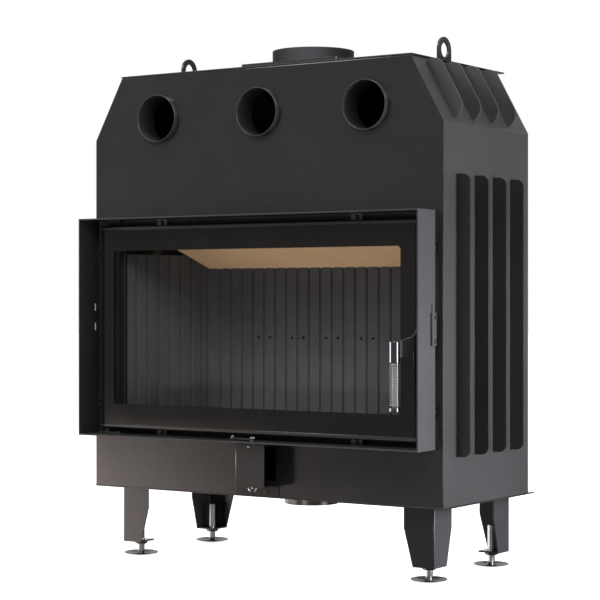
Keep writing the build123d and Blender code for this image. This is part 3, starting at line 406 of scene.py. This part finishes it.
# ---------------------------------------------------------------- edges of the sheet metal and boards
def soften(name, width, segments=2):
    """Round the sharp edges of a CAD node with live modifiers; its own mesh is left as it is."""
    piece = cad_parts[name]
    weld = piece.modifiers.new("weld", "WELD")
    weld.merge_threshold = 0.00002
    flat = piece.modifiers.new("flat", "DECIMATE")
    flat.decimate_type = "DISSOLVE"
    flat.angle_limit = math.radians(0.5)
    edge = piece.modifiers.new("edge", "BEVEL")
    edge.width = width
    edge.segments = segments
    edge.limit_method = "ANGLE"
    edge.angle_limit = math.radians(30)
    edge.harden_normals = True


SHEET_NODES = ("front_panel", "side_", "back_panel", "top_plate", "bottom_plate", "shoulder_", "flue_base",
               "portal_frame", "air_box", "lifting", "throat", "door_frame")
SMALL_NODES = ("handle_arm", "latch_cam", "air_lever", "lock_nuts", "latch_keeper", "hinge_")
for node_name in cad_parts:
    if node_name.startswith(("liner_", "hearth_slab", "baffle")) and "bracket" not in node_name:
        soften(node_name, 0.0012)
    elif node_name.startswith("leg_"):
        soften(node_name, 0.0016, 3)
    elif node_name.startswith(SHEET_NODES):
        soften(node_name, 0.0006)
    elif node_name.startswith(SMALL_NODES):
        soften(node_name, 0.0004)


# ---------------------------------------------------------------- modelling steps that the new pieces share
# The front panel's face in mm, and the merge distance of the mesh steps in metres.
ROW_Y = -154.55
MERGE = 0.00001


def mm(*sizes):
    """Millimetres as metres."""
    return tuple(size / 1000 for size in sizes)


def editing(start):
    bpy.ops.object.mode_set(mode="EDIT" if start else "OBJECT")
    if start:
        bpy.ops.mesh.select_mode(type="VERT")
        bpy.ops.mesh.select_all(action="SELECT")


def pick_faces(piece, test):
    """In edit mode, select only the faces that pass the test."""
    bpy.ops.mesh.select_mode(type="FACE")
    bpy.ops.mesh.select_all(action="DESELECT")
    for face in bmesh.from_edit_mesh(piece.data).faces:
        face.select_set(test(face))
    bmesh.update_edit_mesh(piece.data)


def named(name):
    """The piece that was just added, with its place put into its mesh."""
    piece = bpy.context.object
    piece.name = name
    bpy.ops.object.transform_apply(location=True, rotation=True, scale=True)
    return piece


def drawn_line(name, points):
    """Open line through points in mm, made by extruding one vertex."""
    bpy.ops.mesh.primitive_plane_add(size=0.001, location=mm(*points[0]))
    piece = named(name)
    editing(True)
    bpy.ops.mesh.merge(type="CENTER")
    for before, after in zip(points, points[1:]):
        step = mm(*(b - a for a, b in zip(before, after)))
        bpy.ops.mesh.extrude_region_move(TRANSFORM_OT_translate={"value": step})
    editing(False)
    return piece


def use(piece, kind, **settings):
    """Add a modifier, set it and apply it."""
    modifier = piece.modifiers.new(kind.lower(), kind)
    for key, item in settings.items():
        setattr(modifier, key, item)
    bpy.ops.object.modifier_apply(modifier=modifier.name)


def wind(piece, steps, turns=1, pitch=0.0, axis="Z"):
    """Wind a line round an axis: a turned shape, or a helix where there is a pitch in mm."""
    use(piece, "SCREW", axis=axis, iterations=turns, screw_offset=pitch / 1000, steps=steps,
        render_steps=steps, use_merge_vertices=True, merge_threshold=MERGE)


def close_up(piece, angle=35):
    """Merge doubles, turn the faces outwards and smooth all but the sharp edges."""
    editing(True)
    bpy.ops.mesh.remove_doubles(threshold=MERGE)
    bpy.ops.mesh.normals_make_consistent(inside=False)
    editing(False)
    bpy.ops.object.shade_smooth_by_angle(angle=math.radians(angle))


def turned(name, outline, steps=48):
    """Closed turned shape about the Z axis from (radius, height) pairs in mm."""
    piece = drawn_line(name, [(radius, 0, height) for radius, height in outline])
    wind(piece, steps)
    close_up(piece)
    return piece


def only(piece):
    bpy.ops.object.select_all(action="DESELECT")
    piece.select_set(True)
    bpy.context.view_layer.objects.active = piece


def copy_at(piece, name, place, turn=(0, 0, 0)):
    """Copy of a piece with its own mesh, turned by degrees and moved by mm."""
    only(piece)
    bpy.ops.object.duplicate(linked=False)
    twin = bpy.context.object
    twin.rotation_euler = [math.radians(t) for t in turn]
    twin.location = mm(*place)
    return named(name)


def drop(piece):
    only(piece)
    bpy.ops.object.delete()


def joined(name, pieces):
    only(pieces[0])
    for piece in pieces[1:]:
        piece.select_set(True)
    bpy.ops.object.join()
    return named(name)


def dress(piece, body, node, finish):
    """Give a finished piece its body, the CAD node it stands for and its finish."""
    paint(piece, finish)
    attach(piece, body)
    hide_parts(node)


# ---------------------------------------------------------------- feet: threaded rods and pressed pads
ROD_LOW, ROD_HIGH, THREAD_PITCH = 1.6, 88.3, 2
FOOT_PLACES = (("front_left", -372.6, -83.55), ("front_right", 372.6, -83.55),
               ("rear_left", -372.6, 185.45), ("rear_right", 372.6, 185.45))


def make_threaded_rod():
    """M16 rod: one pitch of thread wound up, cut to length and pointed at the top."""
    thread = [(7.5, 0, -1), (8, 0, -0.65), (8, 0, 0.65), (7.5, 0, 1)]
    rod = drawn_line("threaded_rod", thread)
    wind(rod, 28, turns=46, pitch=THREAD_PITCH)
    editing(True)
    for height, outer in ((ROD_LOW, False), (ROD_HIGH, True)):
        bpy.ops.mesh.select_all(action="SELECT")
        bpy.ops.mesh.bisect(plane_co=mm(0, 0, height), plane_no=(0, 0, 1), use_fill=True,
                            clear_outer=outer, clear_inner=not outer, threshold=0.000001)
    bpy.ops.mesh.select_all(action="SELECT")
    bpy.ops.mesh.normals_make_consistent(inside=False)
    pick_faces(rod, lambda face: face.normal.z > 0.99 and face.calc_center_median().z > 0.088)
    bpy.ops.mesh.inset(thickness=0.0011, depth=0.0007)
    editing(False)
    close_up(rod, 40)
    return rod


def make_pressed_pad():
    """Pressed steel dish: narrow base on the floor, raised rolled rim and a seat for the rod."""
    under = [(0, 0.3), (11, 0.3), (12.5, 0), (15.5, 0), (18, 0.5), (26, 2.3), (33, 3.9), (36, 4.5)]
    rim = [(37.4, 4.6), (38, 5.2), (37.9, 5.9), (37.2, 6.4), (36, 6.4)]
    over = [(33.5, 5.8), (26, 4.1), (18, 2.4), (15, 2), (11.5, 2), (10.6, 2.2)]
    seat = [(10, 3), (9.4, 3.4), (8.2, 3.4), (8.1, 1.6), (0, 1.6)]
    return turned("pressed_pad", under + rim + over + seat, 64)


def make_jam_nut():
    """Thin hexagon nut under the leg, chamfered on both sides and bored for the rod."""
    bpy.ops.mesh.primitive_cylinder_add(vertices=6, radius=0.01386, depth=0.0062, location=mm(0, 0, 27.5))
    nut = named("jam_nut")
    cone = [(0, 24.3), (11.8, 24.3), (14, 25.6), (14, 29.4), (11.8, 30.7), (0, 30.7)]
    chamfer = turned("nut_chamfer", cone)
    bore = turned("nut_bore", [(0, 20), (8.1, 20), (8.1, 35), (0, 35)], 28)
    only(nut)
    use(nut, "BOOLEAN", operation="INTERSECT", solver="EXACT", object=chamfer)
    use(nut, "BOOLEAN", operation="DIFFERENCE", solver="EXACT", object=bore)
    drop(chamfer)
    drop(bore)
    only(nut)
    close_up(nut)
    return nut


rod, pad, nut = make_threaded_rod(), make_pressed_pad(), make_jam_nut()
nuts = []
for corner, x, y in FOOT_PLACES:
    for pattern, stem, node, finish in ((rod, "threaded_rod_", "foot_rod_", bright_zinc),
                                        (pad, "pressed_pad_", "foot_pad_", pad_steel)):
        piece = copy_at(pattern, stem + corner, (x, y, 0))
        dress(piece, "foot_" + corner, node + corner, finish)
    nuts.append(copy_at(nut, "jam_nut_copy", (x, y, 0)))
for pattern in (rod, pad, nut):
    drop(pattern)
dress(joined("jam_nuts", nuts), "casing", "lock_nuts", dark_steel)


# ---------------------------------------------------------------- screws and the wing nut
def make_screw(radius, height, shank):
    """Pan-head screw along Z with a hexagon socket, the underside of its head at 0."""
    outline = [(0, -shank), (radius * 0.6, -shank), (radius * 0.6, 0)] if shank else [(0, 0)]
    head = [(0.96, 0), (1, 0.1), (1, 0.45), (0.95, 0.68), (0.84, 0.86), (0.68, 0.97), (0.55, 1), (0, 1)]
    outline += [(radius * out, height * up) for out, up in head]
    screw = turned("screw", outline, 24)
    bpy.ops.mesh.primitive_cylinder_add(vertices=6, radius=radius * 0.46 / 1000, depth=height / 1000,
                                        location=mm(0, 0, height))
    socket = named("socket")
    only(screw)
    use(screw, "BOOLEAN", operation="DIFFERENCE", solver="EXACT", object=socket)
    drop(socket)
    only(screw)
    editing(True)
    bpy.ops.mesh.dissolve_degenerate(threshold=MERGE)
    editing(False)
    return screw


def placed_screws(name, places, radius, height, shank):
    """Screws of one size at (place, turn) pairs, joined into one piece."""
    pattern = make_screw(radius, height, shank)
    row = [copy_at(pattern, "screw_copy", place, turn) for place, turn in places]
    drop(pattern)
    return joined(name, row)


upwards, towards_front, towards_right, downwards = (0, 0, 0), (90, 0, 0), (0, 90, 0), (180, 0, 0)
tabs = [(side * 250, z) for side in (-1, 1) for z in (285.1, 741.2)]
tabs += [(side * 421.8, z) for side in (-1, 1) for z in (350.1, 676.2)]
# Name, (place, turn) pairs, head radius and height, shank and finish.
screw_rows = (
    ("portal_screws", [((x, ROW_Y - 11, z), towards_front) for x, z in tabs], 5, 3.5, 11, dark_steel),
    ("keeper_screws", [((434.2, ROW_Y - 12, z), towards_right) for z in (490.5, 538)],
     4, 2.5, 0, dark_steel),
    ("hinge_screws", [((-362, ROW_Y - 21, 281.1), upwards), ((-362, ROW_Y - 21, 745.2), downwards)],
     5, 3.5, 0, dark_steel),
    ("air_box_screw", [((23, ROW_Y - 2, 170), towards_front)], 3.5, 2, 0, dark_steel),
    ("air_box_bolt", [((14.5, ROW_Y - 56.3, 266.7), towards_front)], 3.5, 2, 0, zinc),
)
for name, places, radius, height, shank, finish in screw_rows:
    piece = placed_screws(name, places, radius, height, shank)
    dress(piece, "casing", "screws", finish)


def make_wing_nut():
    """Wing nut: turned hub and two curved wings that rise outwards."""
    outline = [(0, 170.4), (4.2, 170.4), (4.9, 171), (5.3, 174), (5.3, 177.4), (4.6, 178.2), (4.2, 178.2),
               (4.2, 174.3), (0, 174.3)]
    hub = turned("wing_nut_hub", outline, 32)
    bpy.ops.mesh.primitive_cube_add(size=1, location=mm(4.3, 0, 174.4))
    bpy.context.object.scale = mm(3.2, 3.0, 5.4)
    wing = named("wing")
    editing(True)
    for step, size in (((2.4, 0, 2.2), (1, 0.8, 1.1)), ((2.5, 0, 2.6), (1, 0.85, 0.85))):
        pick_faces(wing, lambda face: face.normal.x > 0.6)
        bpy.ops.mesh.extrude_region_move(TRANSFORM_OT_translate={"value": mm(*step)})
        bpy.ops.transform.resize(value=size)
    editing(False)
    use(wing, "SUBSURF", levels=2, render_levels=2)
    use(wing, "MIRROR", use_axis=(True, False, False))
    close_up(wing, 50)
    return hub, wing


DAMPER_AXIS = (14.5, -198.55, 0)
hub, wing = make_wing_nut()
for pattern, name, finish in ((hub, "butterfly_hub", dark_steel), (wing, "butterfly_wings", bright_zinc)):
    dress(copy_at(pattern, name, DAMPER_AXIS), "air_damper", "wing_nut", finish)
    drop(pattern)


# ---------------------------------------------------------------- door seals
# Half width, low, high, corner radius and place in depth of each ring's outline in mm, and its corner segments.
ROPE_RING = (376.5, 309, 715, 20, -165.85, 10)
TAPE_RING = (376, 328, 696, 22, -182.6, 8)
ROPE_TURNS = 96


def rounded_ring(name, half_width, low, high, corner, y, segments):
    """Upright rounded rectangle face in the plane of the door, in mm."""
    middle = (low + high) / 2
    bpy.ops.mesh.primitive_plane_add(size=1, location=mm(0, y, middle), rotation=(math.radians(90), 0, 0))
    bpy.context.object.scale = mm(2 * half_width, high - low, 1000)
    ring = named(name)
    editing(True)
    bpy.ops.mesh.bevel(affect="VERTICES", offset=corner / 1000, segments=segments)
    editing(False)
    return ring


def make_rope_seal():
    """Three twisted strands of glass-fibre rope laid in the door's groove."""
    path = rounded_ring("rope_path", *ROPE_RING)
    editing(True)
    bpy.ops.mesh.delete(type="ONLY_FACE")
    editing(False)
    bpy.ops.object.convert(target="CURVE")
    path = bpy.context.object
    path.data.twist_mode = "MINIMUM"
    length = path.data.splines[0].calc_length() * 1000
    strands = []
    lay = 2.3
    for third in range(3):
        bpy.ops.mesh.primitive_circle_add(vertices=8, radius=0.0026, rotation=(0, math.radians(90), 0))
        around = math.radians(120 * third)
        bpy.context.object.location = mm(0, lay * math.cos(around), lay * math.sin(around))
        strands.append(named("strand"))
    rope_piece = joined("rope_seal", strands)
    wind(rope_piece, 9, turns=ROPE_TURNS, pitch=length / ROPE_TURNS, axis="X")
    use(rope_piece, "CURVE", object=path, deform_axis="POS_X")
    drop(path)
    only(rope_piece)
    close_up(rope_piece, 60)
    return rope_piece


def make_seal_tape():
    """Flat woven tape between the glass and the door frame, with rounded edges."""
    tape = rounded_ring("seal_tape", *TAPE_RING)
    editing(True)
    pick_faces(tape, lambda face: True)
    bpy.ops.mesh.inset(thickness=0.009)
    bpy.ops.mesh.delete(type="FACE")
    bpy.ops.mesh.select_all(action="SELECT")
    bpy.ops.mesh.extrude_region_move(TRANSFORM_OT_translate={"value": mm(0, -0.9, 0)})
    editing(False)
    close_up(tape)
    use(tape, "BEVEL", width=0.0003, segments=2, limit_method="ANGLE", angle_limit=math.radians(40))
    close_up(tape, 60)
    return tape


dress(make_rope_seal(), "door", "door_gasket", rope_fibre)
dress(make_seal_tape(), "door", "glass_seal", tape_fibre)


# ---------------------------------------------------------------- stage, light and camera
def softbox(name, place, aim, width, height, power, tint):
    """Soft rectangular lamp that the camera doesn't see."""
    bpy.ops.object.light_add(type="AREA", location=place)
    lamp = bpy.context.object
    lamp.name = name
    lamp.data.shape = "RECTANGLE"
    lamp.data.size, lamp.data.size_y = width, height
    lamp.data.energy = power
    lamp.data.color = tint
    lamp.visible_camera = False
    lamp.rotation_euler = (Vector(aim) - Vector(place)).to_track_quat("-Z", "Y").to_euler()


def camera_only(stage_piece):
    """Stage piece that the camera sees, and that neither lights the insert nor shows in its paint."""
    stage_piece.visible_diffuse = stage_piece.visible_glossy = stage_piece.visible_shadow = False


bpy.ops.mesh.primitive_plane_add(size=60.0, location=(0, 0, 0))
floor = bpy.context.object
floor.name = "studio_floor"
pale = Finish("pale_floor")
paint(floor, pale.done(pale.surface(Base_Color=(0.75, 0.75, 0.75, 1.0), Roughness=0.9,
                                    Emission_Color=(1.0, 1.0, 1.0, 1.0), Emission_Strength=0.9)))
camera_only(floor)

bpy.ops.mesh.primitive_ico_sphere_add(subdivisions=3, radius=28.0, location=(0, 0, 0))
backdrop = bpy.context.object
backdrop.name = "studio_backdrop"
white = Finish("white_backdrop")
paint(backdrop, white.done(white.node("ShaderNodeEmission", Color=(1.0, 1.0, 1.0, 1.0), Strength=1.0)))
camera_only(backdrop)

world = bpy.data.worlds.new("studio")
bpy.context.scene.world = world
world.use_nodes = True
sky = Finish("studio", world)
left, down, front = sky.x * -1.0, sky.z * -1.0, sky.y * -1.0
across = left.step(0.54, 0.68) * (1.0 - left.step(0.72, 0.80))
level = sky.z.size()
room = (0.30, 0.29, 0.285, 1.0)
# Zones of the world by direction, each over the ones before it: how much of it there is, and its light.
zones = (
    # cooler corner at the rear right, which the side panel reflects
    (sky.x.step(0.0, 0.5) * sky.y.step(0.0, 0.5), (0.22, 0.22, 0.24, 1.0)),
    # warm patch low at the front left, which the front panel's lower part reflects
    (across * across * down.step(0.064, 0.074) * (1.0 - down.step(0.20, 0.26)) * front.step(0.3, 0.5),
     (7.6, 6.5, 6.0, 1.0)),
    # pale wall behind the insert, away from the camera
    ((left * 0.555 + sky.y * 0.832).step(0.76, 0.86), (1.2, 1.2, 1.2, 1.0)),
    # left wall, and the bright level band on it that the plated pieces reflect
    (left.step(0.83, 0.87) * (1.0 - level.step(0.5, 0.7)), (1.5, 1.5, 1.5, 1.0)),
    (left.step(0.80, 0.82) * (1.0 - level.step(0.06, 0.08)), (8.0, 8.0, 8.0, 1.0)),
)
glow = room
for share, light in zones:
    glow = sky.blend(share, glow, light)
sky.done(sky.node("ShaderNodeBackground", Color=glow, Strength=1.0))

# Name, place, aim, width, height, watts and tint.
white_tint = (1.0, 1.0, 1.0)
for lamp_row in (
    ("key_softbox", (-1.3, -2.3, 3.3), (0, 0, 0.7), 1.4, 1.4, 103.0, (1.0, 0.985, 0.99)),
    ("fill_softbox", (0.1, -1.9, 0.12), (0, 0.1, 0.45), 0.4, 0.15, 3.5, white_tint),
    ("top_right_softbox", (1.7, -2.5, 2.4), (0, 0, 0.8), 1.4, 1.2, 42.0, (0.96, 0.97, 1.0)),
    ("overhead_softbox", (0.9, 0.4, 4.0), (0.2, 0.2, 0.0), 3.0, 3.0, 100.0, white_tint),
    ("side_softbox", (1.35, -0.08, 0.40), (0.4, 0.0, 0.40), 0.5, 0.6, 22.0, (0.94, 0.95, 1.0)),
    ("hearth_light", (0, -0.08, 0.37), (0, -0.06, 1.0), 0.6, 0.16, 0.19, (1.0, 0.98, 0.97)),
):
    softbox(*lamp_row)

# The camera as solved from the photograph: level, and turned to the insert's front right.
CAMERA_PLACE, CAMERA_TURN, LENS, SENSOR = (2.2668, -3.39795, 0.5725), 33.69, 112.4, 36.0
bpy.ops.object.camera_add(location=CAMERA_PLACE, rotation=(math.radians(90), 0, math.radians(CAMERA_TURN)))
camera = bpy.context.object
camera.data.lens = LENS
camera.data.sensor_width = SENSOR
bpy.context.scene.camera = camera
bpy.context.scene.view_settings.view_transform = "Standard"
